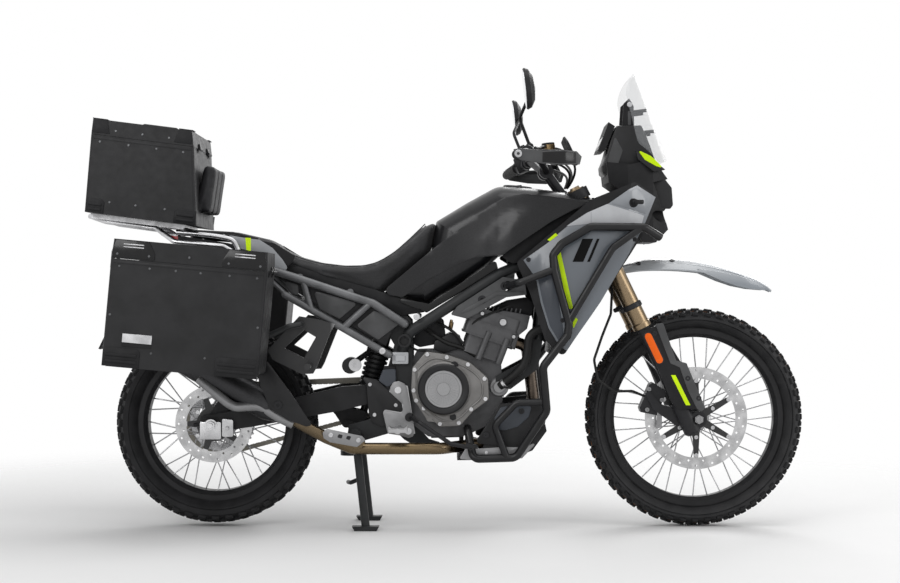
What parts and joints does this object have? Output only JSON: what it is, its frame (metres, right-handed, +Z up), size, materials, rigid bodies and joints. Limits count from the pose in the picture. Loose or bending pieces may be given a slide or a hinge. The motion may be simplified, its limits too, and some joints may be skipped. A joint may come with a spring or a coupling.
{
  "type": "adventure motorcycle",
  "caption": "Adventure motorcycle with spoked wheels, crash bars, aluminium top case and side cases, standing on its centre stand",
  "frame": {"origin": "on the floor under the middle of the overall box", "axes": "+X forward, +Y to the rider's left, +Z up"},
  "size_m": [2.2449, 0.962, 1.425],
  "materials": {
    "tyre": "matte black rubber",
    "black_alloy": "satin black anodised",
    "wheel_hub": "black hub with stainless spokes",
    "disc_steel": "ground stainless",
    "dark_alloy": "dark anodised",
    "fork_gold": "gold anodised",
    "trim_plastic": "grained black",
    "body_colour": "pale blue grey, satin lacquer",
    "hose_rubber": "black",
    "frame_paint": "dark grey powder coat",
    "subframe_paint": "silver grey powder coat",
    "engine_alloy": "dark grey cast alloy, painted",
    "cover_alloy": "grey cast alloy",
    "radiator_black": "black fins",
    "exhaust_steel": "heat tinted stainless",
    "silencer_steel": "grey steel",
    "swingarm_alloy": "dark grey alloy",
    "dark_steel": "black",
    "chain_steel": "oiled steel",
    "tank_paint": "satin black metallic",
    "seat_cover": "textured black cover",
    "lens_glass": "clear lens",
    "lamp_red": "red lens",
    "screen_glass": "clear",
    "rack_alloy": "silver",
    "case_alloy": "black anodised sheet",
    "footrest_alloy": "silver cast alloy",
    "crash_bar_paint": "black powder coat",
    "skid_alloy": "black alloy"
  },
  "bodies": {
    "chassis": {"backrest_pad": "seat_cover", "crash_bars": "crash_bar_paint", "drive_chain": "chain_steel", "engine_case": "engine_alloy", "engine_covers": "cover_alloy", "engine_cylinder": "engine_alloy", "exhaust_pipe": "exhaust_steel", "foot_controls": "dark_steel", "footrests": "footrest_alloy", "frame_covers": "cover_alloy", "front_fairing": "trim_plastic", "fuel_tank": "tank_paint", "headlight": "lens_glass", "instrument_display": "trim_plastic", "luggage_rack": "rack_alloy", "main_frame": "frame_paint", "pannier_racks": "frame_paint", "panniers": "case_alloy", "radiator": "radiator_black", "rear_caliper": "dark_alloy", "rear_fender": "trim_plastic", "seat": "seat_cover", "shock_absorber": "dark_steel", "side_covers": "trim_plastic", "side_shrouds": "body_colour", "silencer": "silencer_steel", "skid_plate": "skid_alloy", "subframe": "subframe_paint", "suspension_link": "swingarm_alloy", "swingarm": "swingarm_alloy", "tail_cover": "trim_plastic", "tail_lamp": "lamp_red", "top_case": "case_alloy", "windscreen": "screen_glass"},
    "front_wheel": {"front_tyre": "tyre", "front_rim": "black_alloy", "front_hub": "wheel_hub", "front_disc": "disc_steel"},
    "rear_wheel": {"rear_tyre": "tyre", "rear_rim": "black_alloy", "rear_hub": "wheel_hub", "rear_disc": "disc_steel", "rear_sprocket": "disc_steel"},
    "steering": {"triple_clamps": "dark_alloy", "fork_tubes": "fork_gold", "fork_legs": "dark_alloy", "fork_guards": "trim_plastic", "front_fender": "body_colour", "handlebar": "dark_alloy", "hand_levers": "dark_alloy", "handguards": "trim_plastic", "mirrors": "trim_plastic", "front_caliper": "dark_alloy", "brake_hose": "hose_rubber"},
    "centre_stand": {"centre_stand": "frame_paint"},
    "side_stand": {"side_stand": "frame_paint"},
    "top_case_lid": {"top_case_lid": "case_alloy"},
    "pannier_lid_right": {"pannier_lid_right": "case_alloy"},
    "pannier_lid_left": {"pannier_lid_left": "case_alloy"}
  },
  "joints": [
    {"name": "steering", "type": "hinge", "parent": "chassis", "child": "steering", "pos_m": [0.44, 0, 0.9], "axis": [-0.4384, 0, 0.8988], "range_deg": [-38, 38]},
    {"name": "front_wheel_spin", "type": "hinge", "parent": "steering", "child": "front_wheel", "pos_m": [0.778, 0, 0.344], "axis": [0, 1, 0], "continuous": true},
    {"name": "rear_wheel_spin", "type": "hinge", "parent": "chassis", "child": "rear_wheel", "pos_m": [-0.727, 0, 0.328], "axis": [0, 1, 0], "continuous": true},
    {"name": "centre_stand_fold", "type": "hinge", "parent": "chassis", "child": "centre_stand", "pos_m": [-0.285, 0, 0.3], "axis": [0, 1, 0], "range_deg": [0, 89]},
    {"name": "side_stand_fold", "type": "hinge", "parent": "chassis", "child": "side_stand", "pos_m": [-0.04, 0.141, 0.236], "axis": [0.18, -0.9837, 0], "range_deg": [0, 105]},
    {"name": "top_case_lid_hinge", "type": "hinge", "parent": "chassis", "child": "top_case_lid", "pos_m": [-0.76815, 0, 1.18157], "axis": [0, 1, 0], "range_deg": [0, 85]},
    {"name": "pannier_lid_right_hinge", "type": "hinge", "parent": "chassis", "child": "pannier_lid_right", "pos_m": [-0.515, -0.36, 0.79654], "axis": [0, 1, 0], "range_deg": [0, 95]},
    {"name": "pannier_lid_left_hinge", "type": "hinge", "parent": "chassis", "child": "pannier_lid_left", "pos_m": [-0.515, 0.36, 0.79654], "axis": [0, 1, 0], "range_deg": [0, 95]}
  ]
}
